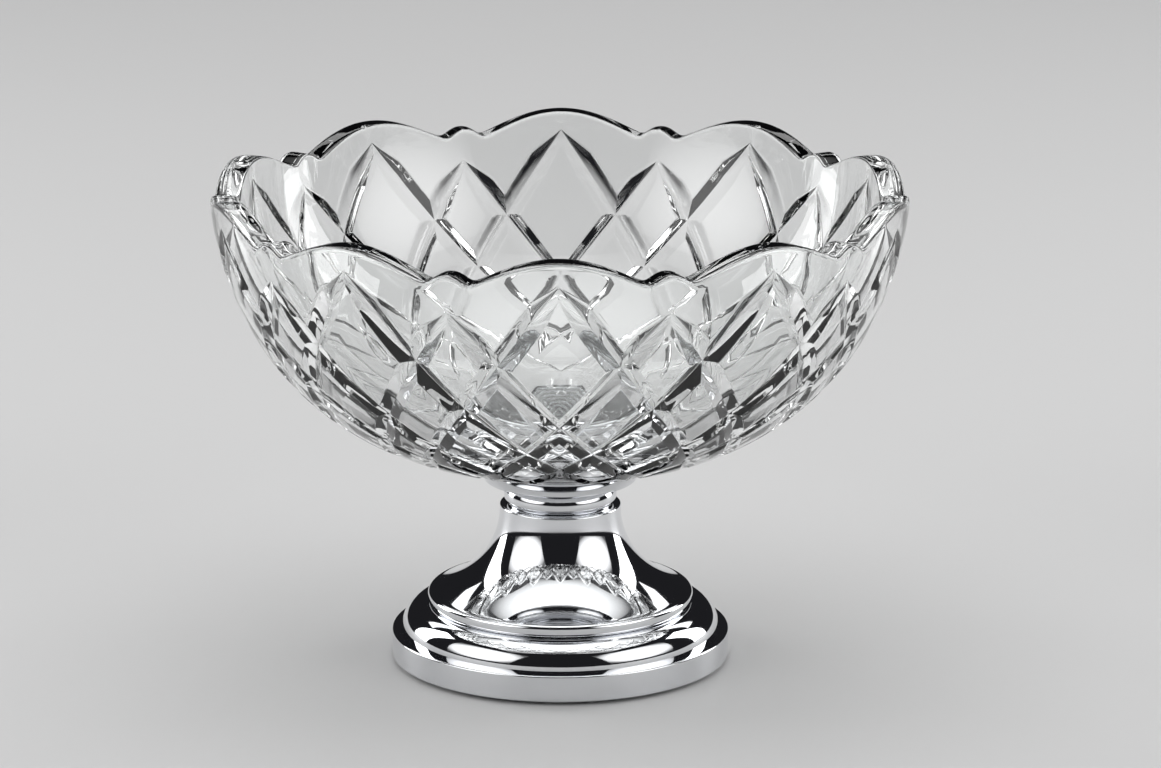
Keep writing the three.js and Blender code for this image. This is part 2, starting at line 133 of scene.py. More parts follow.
# Softboxes: place, aim, extent, the setting that holds the power, and whether the edges are dimmer
SOFTBOXES = {
    "key_left": ((-1.32, -0.72, 0.78), BOWL_AIM, (1.7, 1.35), "key", True),
    "key_right": ((1.32, -0.72, 0.78), BOWL_AIM, (1.7, 1.35), "key", True),
    "top": ((0, 0.12, 1.8), BOWL_AIM, (2.2, 2.3), "top", True),
    "strip_left": ((-1.35, 0.75, 0.65), BOWL_AIM, (0.55, 1.3), "strip", False),
    "strip_right": ((1.35, 0.75, 0.65), BOWL_AIM, (0.55, 1.3), "strip", False),
    "back": ((0, 1.9, 1.5), (0, 2.36, 0), (3.0, 1.0), "back", False),
}


def size_property(name, description, default):
    """A length in metres for a settings group."""
    return bpy.props.FloatProperty(
        name=name, description=description, default=default, unit="LENGTH", precision=4
    )


def angle_property(name, description, degrees):
    """An angle for a settings group."""
    return bpy.props.FloatProperty(
        name=name, description=description, default=math.radians(degrees), subtype="ANGLE"
    )


def power_property(name, description, default):
    """A lamp's power in watts for a settings group."""
    return bpy.props.FloatProperty(name=name, description=description, default=default, subtype="POWER")


def colour_property(name, description, default):
    """A colour for a settings group."""
    return bpy.props.FloatVectorProperty(
        name=name, description=description, default=default, subtype="COLOR", size=3, min=0, max=1
    )


class GlassSettings(bpy.types.PropertyGroup):
    """Sizes and tint of the cut glass."""

    rim_radius: size_property("Rim radius", "Outer radius at a crest of the rim", 0.125)
    seat_radius: size_property("Seat radius", "Radius of the flat that stands on the dish", 0.030)
    base_sweep: size_property("Base sweep", "How far the outside runs out level from the seat", 0.0455)
    base_rise: size_property("Base rise", "How far that run climbs", 0.0029)
    rim_sweep: size_property("Rim sweep", "How far the outside runs down from the rim", 0.065)
    rim_lean: size_property("Rim lean", "How far that run leans inwards", 0.0042)
    wall: size_property("Wall", "Thickness of the glass at the rim", 0.0094)
    floor: size_property("Floor", "Thickness of the glass over the dish", 0.012)
    rim_round: size_property("Rim rounding", "Height of the rounded top of the rim", 0.0018)
    crests: bpy.props.IntProperty(name="Crests", description="Broad crests round the rim", default=10, min=3)
    crest_rise: size_property("Crest rise", "Height of a crest above the dips", 0.0096)
    bead_rise: size_property("Bead rise", "Height of the round bead in a dip", 0.0038)
    bead_width: size_property("Bead width", "Width of the round bead in a dip", 0.0145)
    dip_round: size_property("Dip rounding", "How far a dip fills where crest and bead meet", 0.0012)
    cut_angle: angle_property("Cut angle", "Angle of the cuts to the meridian", 34.5)
    cut_half: size_property("Cut half width", "Half the width of a mitre cut at the rim", 0.0048)
    cut_depth: size_property("Cut depth", "Depth of a mitre cut at the rim", 0.0026)
    cut_drop: size_property("Cut drop", "Drop from a crest to the point of its cuts", 0.0086)
    bead_lag: size_property("Bead cut lag", "How much further down the bead's cuts start", 0.0104)
    run_out: size_property("Run-out", "Length over which a cut runs out at its ends", 0.015)
    tint: colour_property("Tint", "Colour of the clear glass", (0.985, 0.995, 0.992))


class FootSettings(bpy.types.PropertyGroup):
    """Sizes and colours of the chrome foot and what it holds."""

    dish_lower: size_property("Dish lower radius", "Radius of the dish at its rounded lower edge", 0.0276)
    dish_edge: size_property("Dish edge", "Rounding of the dish's edges", 0.0007)
    recess_rim: size_property("Recess rim", "Width of the rim round the dish's recess", 0.0028)
    recess: size_property("Recess", "Depth of the dish's recess", 0.0005)
    recess_ring: size_property("Recess ring", "Depth of the rings turned into the recess", 0.00025)
    rings: bpy.props.IntProperty(name="Rings", description="Rings turned into the recess", default=6, min=1)
    socket_depth: size_property("Socket depth", "Depth of the rod's socket in the dish", 0.0046)
    neck_radius: size_property("Neck radius", "Radius of the neck ring's collar", 0.0189)
    neck_bead: size_property("Neck bead", "Height of the neck ring's bead", 0.0070)
    stem_radius: size_property("Stem radius", "Radius of the stem's straight top", 0.0219)
    stem_straight: size_property("Stem straight", "Height of the stem's straight top", 0.0015)
    stem_edge: size_property("Stem edge", "Rounding of the stem's top edge", 0.0007)
    stem_wall: size_property("Stem wall", "Thickness of the spun stem", 0.0030)
    stem_curve: size_property("Stem curve", "How far the stem runs down before it flares", 0.0115)
    lip_height: size_property("Lip height", "Height of the rounded lip under the flare", 0.0046)
    lip_edge: size_property("Lip edge", "Rounding of that lip", 0.0015)
    flare_reach: size_property("Flare reach", "How far the flare runs in from the lip", 0.0177)
    flare_rise: size_property("Flare rise", "How far that run climbs", 0.0064)
    band_height: size_property("Band height", "Height of the base's plain band", 0.0096)
    band_edge: size_property("Band edge", "Rounding of the band's edges", 0.0006)
    ring_radius: size_property("Ring radius", "Radius of the base's quarter-round ring", 0.0090)
    ring_step: size_property("Ring step", "Short upright under the quarter round", 0.0009)
    ring_set_back: size_property("Ring set-back", "How far the ring stands in from the band", 0.0036)
    base_wall: size_property("Base wall", "Thickness of the band", 0.0031)
    hub: size_property("Hub", "Thickness of the base's hub", 0.0030)
    ledge: size_property("Ledge", "Width of the ledge that the cover seats on", 0.0040)
    clearance: size_property("Clearance", "Gap round the rod", 0.0003)
    chrome: colour_property("Chrome", "Colour of the plated metal", (0.80, 0.81, 0.83))
    zinc: colour_property("Zinc", "Colour of the plated steel fasteners", (0.55, 0.57, 0.58))
    board: colour_property("Board", "Colour of the hardboard cover", (0.16, 0.09, 0.045))
    felt: colour_property("Felt", "Colour of the felt pad", (0.018, 0.018, 0.020))


class StageSettings(bpy.types.PropertyGroup):
    """Camera, floor and lights."""

    camera_place: bpy.props.FloatVectorProperty(
        name="Camera",
        description="Place of the camera",
        default=(0.0073, -1.9677, 0.6269),
        subtype="TRANSLATION",
    )
    camera_pitch: angle_property("Pitch", "How far the camera looks down", 14.954)
    lens: bpy.props.FloatProperty(name="Lens", description="Focal length in millimetres", default=175.9)
    floor: colour_property("Floor", "Colour of the floor", (0.64, 0.64, 0.64))
    room: colour_property("Room", "Colour of the studio beyond the lamps", (0.014, 0.014, 0.016))
    key: power_property("Key", "Power of each front softbox", 18.0)
    top: power_property("Top", "Power of the softbox overhead", 36.0)
    strip: power_property("Strip", "Power of each side strip", 9.0)
    back: power_property("Back", "Power of the softbox over the floor behind", 16.0)
    fade: bpy.props.FloatProperty(
        name="Fade", description="How much a softbox dims towards its edges", default=2.5
    )


class Link:
    """A shader socket that Python arithmetic works on: each operator on it adds one Math node."""

    def __init__(self, tree, socket=None):
        self.tree = tree
        self.socket = socket

    def node(self, kind, settings=None, sockets=None, output=0):
        """Adds a node: its settings come first, then its sockets take numbers, colours or links."""
        made = self.tree.nodes.new(kind)
        for name, value in (settings or {}).items():
            setattr(made, name, value)
        for name, value in (sockets or {}).items():
            if isinstance(value, Link):
                self.tree.links.new(value.socket, made.inputs[name])
            else:
                made.inputs[name].default_value = value
        return Link(self.tree, made.outputs[output] if made.outputs else None)

    def math(self, operation, first, second):
        """Adds a Math node on two values."""
        return self.node("ShaderNodeMath", {"operation": operation}, {0: first, 1: second})

    def __add__(self, other):
        return self.math("ADD", self, other)

    def __radd__(self, other):
        return self.math("ADD", other, self)

    def __rsub__(self, other):
        return self.math("SUBTRACT", other, self)

    def __mul__(self, other):
        return self.math("MULTIPLY", self, other)

    def mix(self, dark, light):
        """A colour between two, by this value."""
        sockets = {MIX_FACTOR: self, MIX_DARK: (*dark, 1), MIX_LIGHT: (*light, 1)}
        return self.node("ShaderNodeMix", {"data_type": "RGBA"}, sockets, MIX_COLOUR)

    def noise(self, scale, detail, distortion=0.0):
        """Noise over the piece's own coordinates, scale in cells a metre."""
        place = self.node("ShaderNodeTexCoord", output="Object")
        sockets = {"Vector": place, "Scale": scale, "Detail": detail, "Distortion": distortion}
        return self.node("ShaderNodeTexNoise", None, sockets)

    def streaks(self, scale, detail, flatten):
        """Noise in level streaks: heights are multiplied by a factor, which flattens its cells."""
        place = self.node("ShaderNodeTexCoord", output="Object")
        drawn = self.node("ShaderNodeMapping", None, {"Vector": place, "Scale": (1, 1, flatten)})
        return self.node("ShaderNodeTexNoise", None, {"Vector": drawn, "Scale": scale, "Detail": detail})

    def bump(self, strength, distance):
        """A surface normal with this value as height."""
        sockets = {"Strength": strength, "Distance": distance, "Height": self}
        return self.node("ShaderNodeBump", None, sockets)


def finish_material(name, build):
    """A new material whose Principled sockets are what build returns."""
    material = bpy.data.materials.new(name)
    material.use_nodes = True
    tree = material.node_tree
    tree.nodes.clear()
    start = Link(tree)
    surface = start.node("ShaderNodeBsdfPrincipled", None, build(start))
    start.node("ShaderNodeOutputMaterial", None, {"Surface": surface})
    return material


def scaled(colour, share):
    """A colour made darker or lighter by one share."""
    return tuple(min(1.0, channel * share) for channel in colour)


def cut_glass_material(size):
    """Clear polished lead crystal: faintly wavy, and a little less polished inside the cuts."""

    def build(start):
        cut = start.node("ShaderNodeAttribute", {"attribute_name": "cut"}, output="Fac")
        waves = start.noise(scale=38.0, detail=1.0)
        haze = start.noise(scale=160.0, detail=2.0)
        return {
            "Base Color": haze.mix(scaled(size.tint, 0.99), tuple(size.tint)),
            "Roughness": cut * 0.012 + haze * 0.006,
            "IOR": CRYSTAL_INDEX,
            "Transmission Weight": 1.0,
            "Normal": waves.bump(strength=0.12, distance=0.0006),
        }

    return finish_material("cut_glass", build)


def chrome_material(size):
    """Mirror chrome: faint polishing marks and handling haze in an otherwise even plate."""

    def build(start):
        haze = start.noise(scale=55.0, detail=4.0)
        marks = start.streaks(scale=240.0, detail=3.0, flatten=14.0)
        return {
            "Base Color": haze.mix(scaled(size.chrome, 0.95), tuple(size.chrome)),
            "Metallic": 1.0,
            "Roughness": 0.022 + haze * 0.03 + marks * 0.012,
            "Normal": marks.bump(strength=0.01, distance=0.0002),
        }

    return finish_material("chrome_plate", build)


def zinc_material(size):
    """Zinc-plated steel: a soft grey with drawn streaks and cloudy plating."""

    def build(start):
        cloud = start.noise(scale=140.0, detail=3.0)
        drawn = start.streaks(scale=500.0, detail=3.0, flatten=8.0)
        return {
            "Base Color": cloud.mix(scaled(size.zinc, 0.78), scaled(size.zinc, 1.1)),
            "Metallic": 1.0,
            "Roughness": 0.26 + cloud * 0.14 + drawn * 0.08,
            "Normal": drawn.bump(strength=0.08, distance=0.0002),
        }

    return finish_material("zinc_steel", build)


def board_material(size):
    """Hardboard: pressed brown fibres, darker in patches."""

    def build(start):
        patch = start.noise(scale=60.0, detail=4.0)
        fibre = start.noise(scale=900.0, detail=5.0, distortion=0.6)
        shade = patch * 0.6 + fibre * 0.5
        return {
            "Base Color": shade.mix(scaled(size.board, 0.55), scaled(size.board, 1.45)),
            "Roughness": 0.7 + fibre * 0.2,
            "Normal": fibre.bump(strength=0.35, distance=0.0004),
        }

    return finish_material("hardboard", build)


def felt_material(size):
    """Dark felt: matted fibres with lighter ends that stand up."""

    def build(start):
        matted = start.noise(scale=700.0, detail=6.0, distortion=1.2)
        tuft = start.noise(scale=2400.0, detail=3.0)
        shade = matted * 0.7 + tuft * 0.3
        pile = matted + tuft * 0.5
        return {
            "Base Color": shade.mix(scaled(size.felt, 0.5), scaled(size.felt, 2.6)),
            "Roughness": 0.88 + tuft * 0.1,
            "Sheen Weight": 0.35,
            "Sheen Roughness": 0.6,
            "Normal": pile.bump(strength=0.6, distance=0.0006),
        }

    return finish_material("felt", build)


def bond_material(size):
    """Clear cured adhesive with a slight haze."""

    def build(start):
        haze = start.noise(scale=220.0, detail=3.0)
        return {
            "Base Color": haze.mix(scaled(size.tint, 0.94), tuple(size.tint)),
            "Roughness": 0.03 + haze * 0.08,
            "IOR": BOND_INDEX,
            "Transmission Weight": 1.0,
            "Normal": haze.bump(strength=0.1, distance=0.0002),
        }

    return finish_material("clear_bond", build)


def floor_material(colour):
    """Plain pale floor."""

    def build(start):
        grain = start.noise(scale=3.0, detail=2.0)
        return {"Base Color": grain.mix(scaled(colour, 0.985), tuple(colour)), "Roughness": 0.6}

    return finish_material("pale_floor", build)


def cells(index, flip=None):
    """Two triangles for each cell of a grid of vertex numbers; flip says which diagonal splits a cell."""
    a = index[..., :-1, :-1]
    b = index[..., 1:, :-1]
    c = index[..., 1:, 1:]
    d = index[..., :-1, 1:]
    halves = np.stack([a, b, c, a, c, d], axis=-1)
    if flip is not None:
        halves = np.where(flip[..., None], np.stack([a, b, d, b, c, d], axis=-1), halves)
    return halves.reshape(-1, 3)


def round_grid(rows, columns, closed):
    """Vertex numbers of a grid that goes round the axis, and from its last row to its first if closed."""
    index = np.arange(rows * columns).reshape(rows, columns)
    index = np.concatenate([index, index[:, :1]], axis=1)
    if closed:
        index = np.concatenate([index, index[:1]], axis=0)
    return index


def mesh_piece(name, points, faces, sharp, values=None):
    """A mesh object from points and triangles: doubles merged, faces outwards, edges sharp past an angle.
    Values are named numbers at the points."""
    points = points.reshape(-1, 3)
    mesh = bpy.data.meshes.new(name)
    mesh.vertices.add(len(points))
    mesh.vertices.foreach_set("co", np.ascontiguousarray(points, dtype=np.float32).ravel())
    mesh.loops.add(faces.size)
    mesh.loops.foreach_set("vertex_index", faces.astype(np.int32).ravel())
    mesh.polygons.add(len(faces))
    mesh.polygons.foreach_set("loop_start", np.arange(0, faces.size, 3, dtype=np.int32))
    mesh.update(calc_edges=True)
    for key, value in (values or {}).items():
        attribute = mesh.attributes.new(key, "FLOAT", "POINT")
        attribute.data.foreach_set("value", np.ascontiguousarray(value, dtype=np.float32).ravel())
    form = bmesh.new()
    form.from_mesh(mesh)
    bmesh.ops.remove_doubles(form, verts=form.verts, dist=MERGE)
    bmesh.ops.recalc_face_normals(form, faces=form.faces)
    form.to_mesh(mesh)
    form.free()
    mesh.shade_smooth()
    mesh.set_sharp_from_angle(angle=sharp)
    made = bpy.data.objects.new(name, mesh)
    bpy.context.scene.collection.objects.link(made)
    return made


def round_points(angle, radius, height):
    """Points at an angle from -Y towards +X, a radius from the axis and a height."""
    return np.stack(np.broadcast_arrays(radius * np.sin(angle), -radius * np.cos(angle), height), axis=-1)


def round_angles(columns):
    """Even angles round the axis, as one row."""
    return np.linspace(0, TURN, columns, endpoint=False)[None, :]


def turned(name, profile, columns=FOOT_COLUMNS):
    """A profile of radius and height carried round the axis. Points on the axis close to a pole,
    and a profile that doesn't start and end there closes on itself."""
    points = round_points(round_angles(columns), profile[:, :1], profile[:, 1:])
    closed = profile[0, 0] > 0 or profile[-1, 0] > 0
    return mesh_piece(name, points, cells(round_grid(len(profile), columns, closed)), TURNED_SHARP)


def bezier(corners, share):
    """Cubic Bezier curve: its four corners weighted by the Bernstein polynomials of the share."""
    t = np.asarray(share, dtype=float)[..., None]
    s = 1 - t
    first, second, third, last = np.asarray(corners, dtype=float)
    return s**3 * first + 3 * s**2 * t * second + 3 * s * t**2 * third + t**3 * last


def bezier_slope(corners, share):
    """Unit tangent of a cubic Bezier curve, from the differences of its corners."""
    t = np.asarray(share, dtype=float)[..., None]
    s = 1 - t
    first, second, third = np.diff(np.asarray(corners, dtype=float), axis=0)
    slope = s**2 * first + 2 * s * t * second + t**2 * third
    return slope / np.linalg.norm(slope, axis=-1, keepdims=True)


def curve(*corners):
    """Points along a Bezier curve with three or four corners."""
    if len(corners) == 3:
        start, middle, end = (np.asarray(corner, dtype=float) for corner in corners)
        corners = (start, start + (middle - start) * 2 / 3, end + (middle - end) * 2 / 3, end)
    return bezier(corners, np.linspace(0, 1, CURVE_STEPS + 1))


def arc(centre, radius, start, end):
    """Points of a circular arc of radius and height, from one angle to another."""
    angle = np.linspace(start, end, ARC_STEPS + 1)
    return np.stack([centre[0] + radius * np.cos(angle), centre[1] + radius * np.sin(angle)], axis=-1)


def outline(*parts):
    """Joins points and curves, in order, into one profile."""
    return np.concatenate([np.reshape(np.asarray(part, dtype=float), (-1, 2)) for part in parts])


def row_steps(start, end, rows):
    """Even steps from start to end without the start itself, one for each row of a patch."""
    return np.linspace(start, end, rows + 1)[1:, None, None]


class CutGlass:
    """The glass bowl's surface, worked out from its settings.

    Outside, lines of constant a = angle - advance and of constant b = angle + advance are the two families
    of cuts. Advance is the turn that a cut makes about the axis on its way down: it grows by
    path * tan(cut angle) / radius, from nothing at the point of a crest's cuts.
    """

    def __init__(self, size, seat, crest):
        self.size = size
        self.seat = seat
        wall = size.wall
        foot = size.seat_radius
        rim = size.rim_radius
        lean = rim - size.rim_lean
        sweep = crest - size.rim_sweep
        rise = seat + size.base_rise
        self.outer = [(foot, seat), (foot + size.base_sweep, rise), (lean, sweep), (rim, crest)]
        self.inner = [
            (foot, seat + size.floor),
            (foot + size.base_sweep - wall, rise + size.floor),
            (lean - wall, sweep + wall / 2),
            (rim - wall, crest),
        ]
        self.share = np.linspace(1, 0, MERIDIAN_STEPS + 1)
        points = bezier(self.outer, self.share)
        steps = np.linalg.norm(np.diff(points, axis=0), axis=1)
        radii = (points[1:, 0] + points[:-1, 0]) / 2
        path = np.concatenate([[0], np.cumsum(steps)])
        advance = np.concatenate([[0], np.cumsum(steps * math.tan(size.cut_angle) / radii)])
        top = np.interp(size.cut_drop, crest - points[:, 1], advance)
        top_path = np.interp(top, advance, path)
        self.advance = advance - top
        self.outer_height = points[::-1, 1]
        self.inner_height = bezier(self.inner, self.share)[::-1, 1]
        self.pitch = TURN / size.crests
        self.lag = np.interp(top_path + size.bead_lag, path, self.advance)
        self.run_out = np.interp(top_path + size.run_out, path, self.advance)
        self.half = size.cut_half / math.cos(size.cut_angle) / rim
        self.sectors = np.arange(2 * size.crests)[:, None]
        self.dip = crest - self.rim_rise(0.0)

    def line_a(self, cut):
        """Where a cut of the first family lies: even cuts start at crests, odd ones at beads."""
        return self.pitch * (cut // 2) + (cut % 2) * (self.pitch / 2 - self.lag)

    def line_b(self, cut):
        """Where a cut of the second family lies."""
        return self.pitch * (cut // 2) + (cut % 2) * (self.pitch / 2 + self.lag)

    def run(self, cut, advance):
        """Share of a cut's full section at an advance: it runs out over a short way at both ends."""
        start = (cut % 2) * self.lag
        end = (self.line_b(cut + CUT_ROWS + 1) - self.line_a(cut)) / 2
        return np.clip(np.minimum(advance - start, end - advance) / self.run_out, 0, 1)

    def width(self, cut, advance):
        """Half width of a cut at an advance, with a little left at its tip."""
        return self.half * np.maximum(self.run(cut, advance), CUT_TIP)

    def reach(self, share, full):
        """Half width of the other cut along a zigzag: a tip's where two cuts start or end, and full where
        they cross."""
        tip = self.half * CUT_TIP
        return tip + (full - tip) * share

    @staticmethod
    def across(near, far, near_width, far_width):
        """Places from one cut's centre to the next: half of each cut's section, and even steps between."""
        near_side = near + CUT_ACROSS[:-1] * near_width
        far_side = far - CUT_ACROSS[-2::-1] * far_width
        first = near + CUT_ACROSS[-1] * near_width
        last = far - CUT_ACROSS[-1] * far_width
        middle = first + (last - first) * np.linspace(0, 1, FLAT_CELLS + 1)
        return np.concatenate([near_side, middle, far_side], axis=-1)

    def diamond(self, first, second):
        """One diamond for each pair of cuts, on a grid over a and b. It lies below the crossing of cut
        `first` of the one family with cut `second` of the other, and holds half of the cuts on its sides."""
        near_a, far_a = self.line_a(first - 1), self.line_a(first)
        near_b, far_b = self.line_b(second), self.line_b(second + 1)
        even = np.linspace(0, 1, FLAT_CELLS + 2 * len(CUT_ACROSS) - 1)
        even_a = near_a + (far_a - near_a) * even
        even_b = near_b + (far_b - near_b) * even
        a = self.across(
            near_a[..., None],
            far_a[..., None],
            self.width(first - 1, (even_b - near_a) / 2)[..., None],
            self.width(first, (even_b - far_a) / 2)[..., None],
        ).swapaxes(1, 2)
        b = self.across(
            near_b[..., None],
            far_b[..., None],
            self.width(second, (near_b - even_a) / 2)[..., None],
            self.width(second + 1, (far_b - even_a) / 2)[..., None],
        )
        sink = np.concatenate([CUT_SINK[:-1], np.zeros(FLAT_CELLS + 1), CUT_SINK[-2::-1]])
        advance = (b - a) / 2
        near = even < 0.5
        cut_a = np.where(near, first - 1, first)[:, :, None]
        cut_b = np.where(near, second, second + 1)[:, None, :]
        depth_a = self.run(cut_a, advance) * sink[:, None]
        depth_b = self.run(cut_b, advance) * sink
        return a, b, np.maximum(depth_a, depth_b)

    def outside(self, angle, share, depth):
        """Points of the outside at an angle and a share of the meridian, sunk along the normal by a depth."""
        place = bezier(self.outer, share)
        slope = bezier_slope(self.outer, share)
        sink = self.size.cut_depth * depth * place[..., 0] / self.size.rim_radius
        return round_points(angle, place[..., 0] - slope[..., 1] * sink, place[..., 1] + slope[..., 0] * sink)

    def lattice_points(self, a, b, depth):
        """Points of the outside from the lattice's own coordinates."""
        share = np.interp((b - a) / 2, self.advance, self.share)
        return self.outside((a + b) / 2, share, depth)

    def rim_rise(self, angle):
        """How far the rim stands above the dips: each crest is a cosine arch, each bead a small parabola, and
        the rim takes the higher of the two with a rounded dip: mean + hypot(half difference, rounding)."""
        half = self.size.bead_width / 2 / self.size.rim_radius
        away = np.abs(angle - self.pitch * np.round(angle / self.pitch))
        crest = self.size.crest_rise * np.cos(away / (self.pitch / 2 - half) * UP)
        bead = self.size.bead_rise * (1 - ((self.pitch / 2 - away) / half) ** 2)
        return (crest + bead) / 2 + np.hypot((crest - bead) / 2, self.size.dip_round)

    def rim_angles(self, columns):
        """Angles of the rim's columns in each sector, from a crest to a bead or back, closer on the beads."""
        bead = BEAD_SPAN * self.size.bead_width / self.size.rim_radius / self.pitch
        even = np.interp(np.linspace(0, 1, columns), [0, 1 - RIM_BEAD_SHARE, 1], [0, 1 - bead, 1])
        share = np.where(self.sectors % 2 == 0, even, 1 - even[::-1])
        return (self.sectors + share) * self.pitch / 2

    def disc_rows(self, angle, height):
        """Rows from the edge of the seat's circle to the axis, at one height."""
        return round_points(angle, self.size.seat_radius * row_steps(1, 0, DISC_ROWS), height)

    @staticmethod
    def patch(depth, *rows):
        """Joins rows of points into one grid a sector, with depth shares for the rows of the cut, which
        come first."""
        points = np.concatenate(rows)
        shares = np.zeros(points.shape[:-1])
        shares[: len(depth)] = depth
        return points.swapaxes(0, 1), shares.swapaxes(0, 1)

    def crown(self):
        """From the uppermost cuts to the rim, over it and down the inside to the middle of the floor.

        Columns run along the zigzag of the uppermost cuts, down one and up the next. Rows cross half of the
        cut, go up the outside in even steps, round the rim on a half superellipse and down the inner
        meridian.
        """
        cut = self.sectors
        left_a, right_a = self.line_a(cut), self.line_a(cut + 1)
        left_b, right_b = self.line_b(cut), self.line_b(cut + 1)
        down_b = self.diamond(cut, cut)[1][:, -1, :]
        up_a = self.diamond(cut + 1, cut + 1)[0][:, :, 0]
        dip = (right_b - left_a) / 2
        down_advance = (down_b - left_a) / 2
        up_advance = (right_b - up_a) / 2
        down_reach = self.reach((down_b - left_b) / (right_b - left_b), self.width(cut + 1, dip))
        up_reach = self.reach((right_a - up_a) / (right_a - left_a), self.width(cut, dip))
        step = CUT_ACROSS[:, None, None]
        down = left_a + step * self.width(cut, down_advance), down_b - step * down_reach
        up = up_a + step * up_reach, right_b - step * self.width(cut + 1, up_advance)
        a = np.concatenate([np.broadcast_to(down[0], down[1].shape), up[0][..., 1:]], axis=-1)
        b = np.concatenate([down[1], np.broadcast_to(up[1], up[0].shape)[..., 1:]], axis=-1)
        run = np.concatenate([self.run(cut, down_advance), self.run(cut + 1, up_advance)[:, 1:]], axis=-1)
        depth = CUT_SINK[:, None, None] * run
        cut_rows = self.lattice_points(a, b, depth)

        angle = self.rim_angles(a.shape[-1])
        edge = self.dip + self.rim_rise(angle) - self.size.rim_round
        rim_share = np.interp(edge, self.outer_height, self.share[::-1])
        cut_share = np.interp((b[-1] - a[-1]) / 2, self.advance, self.share)
        climb = row_steps(0, 1, CROWN_ROWS)
        turn = (a[-1] + b[-1]) / 2
        crown_share = cut_share + (rim_share - cut_share) * climb
        crown_rows = self.outside(turn + (angle - turn) * climb, crown_share, 0)

        inner_share = np.interp(edge, self.inner_height, self.share[::-1])
        outer_radius = bezier(self.outer, rim_share)[..., 0]
        inner_radius = bezier(self.inner, inner_share)[..., 0]
        round_angle = row_steps(0, math.pi, RIM_ROWS)
        side, rise = np.cos(round_angle), np.sin(round_angle)
        reach = np.sign(side) * np.abs(side) ** RIM_SQUARE * (outer_radius - inner_radius) / 2
        height = edge + self.size.rim_round * np.abs(rise) ** RIM_SQUARE
        rim_rows = round_points(angle, (outer_radius + inner_radius) / 2 + reach, height)

        inside = bezier(self.inner, inner_share * row_steps(1, 0, INSIDE_ROWS))
        inside_rows = round_points(angle, inside[..., 0], inside[..., 1])
        floor_rows = self.disc_rows(angle, self.seat + self.size.floor)
        return self.patch(depth, cut_rows, crown_rows, rim_rows, inside_rows, floor_rows)

    def underside(self):
        """From the lowest cuts to the middle of the seat, in columns along the zigzag of those cuts."""
        cut = self.sectors
        low = cut + CUT_ROWS
        left_a, right_a = self.line_a(cut - 1), self.line_a(cut)
        left_b, right_b = self.line_b(low), self.line_b(low + 1)
        up_a = self.diamond(cut, low - 1)[0][:, :, -1]
        down_b = self.diamond(cut + 1, low)[1][:, 0, :]
        notch = (left_b - right_a) / 2
        up_advance = (left_b - up_a) / 2
        down_advance = (down_b - right_a) / 2
        up_reach = self.reach((up_a - left_a) / (right_a - left_a), self.width(cut, notch))
        down_reach = self.reach((right_b - down_b) / (right_b - left_b), self.width(low, notch))
        step = CUT_ACROSS[:, None, None]
        up = up_a - step * up_reach, left_b + step * self.width(low, up_advance)
        down = right_a - step * self.width(cut, down_advance), down_b + step * down_reach
        a = np.concatenate([up[0], np.broadcast_to(down[0], down[1].shape)[..., 1:]], axis=-1)
        b = np.concatenate([np.broadcast_to(up[1], up[0].shape), down[1][..., 1:]], axis=-1)
        run = np.concatenate([self.run(low, up_advance), self.run(cut, down_advance)[:, 1:]], axis=-1)
        depth = CUT_SINK[:, None, None] * run
        cut_rows = self.lattice_points(a, b, depth)

        even = np.linspace(0, 1, a.shape[-1])
        angle = (left_a + left_b) / 2 + even * self.pitch / 2
        turn = (a[-1] + b[-1]) / 2
        cut_share = np.interp((b[-1] - a[-1]) / 2, self.advance, self.share)
        sink = row_steps(0, 1, UNDER_ROWS)
        under_rows = self.outside(turn + (angle - turn) * sink, cut_share * (1 - sink), 0)
        return self.patch(depth, cut_rows, under_rows, self.disc_rows(angle, self.seat))

    def patches(self):
        """Every patch of the surface as grids of points, with the depth share at each point."""
        made = [self.crown(), self.underside()]
        for row in range(CUT_ROWS):
            a, b, depth = self.diamond(self.sectors, self.sectors + row)
            made.append((self.lattice_points(a, b, depth), depth))
        return made


def glass_piece(size, seat, crest):
    """The cut glass as one closed mesh. Each cell is split along the diagonal on which the depth changes
    more, so that cuts mitre."""
    points, faces, depths = [], [], []
    count = 0
    for grid, depth in CutGlass(size, seat, crest).patches():
        index = count + np.arange(depth.size).reshape(depth.shape)
        main = np.abs(depth[..., 1:, 1:] - depth[..., :-1, :-1])
        other = np.abs(depth[..., 1:, :-1] - depth[..., :-1, 1:])
        faces.append(cells(index, main < other))
        points.append(grid.reshape(-1, 3))
        depths.append(depth.ravel())
        count += depth.size
    points, faces, depths = (np.concatenate(each) for each in (points, faces, depths))
    made = mesh_piece("cut_glass_bowl", points, faces, GLASS_SHARP, {"cut": depths})
    weighted = made.modifiers.new("Face weights", "WEIGHTED_NORMAL")
    weighted.keep_sharp = True
    return made


def dish_profile(size, rod_hole):
    """Half section of the dish: socket, flat underside, rounded edge, flaring side and ringed recess."""
    low, high = (corner.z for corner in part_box("bowl_dish"))
    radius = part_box("bowl_dish")[1].x
    edge = size.dish_edge
    socket = low + size.socket_depth
    recess = radius - size.recess_rim
    lower = size.dish_lower
    return outline(
        (0, socket),
        (rod_hole, socket),
        (rod_hole, low),
        arc((lower - edge, low + edge), edge, DOWN, RIGHT),
        curve((lower, low + edge), (lower + edge, (low + high) / 2), (radius, high - edge))[1:-1],
        arc((radius - edge, high - edge), edge, RIGHT, UP),
        (recess, high),
        turned_rings(size, recess, high - size.recess),
    )


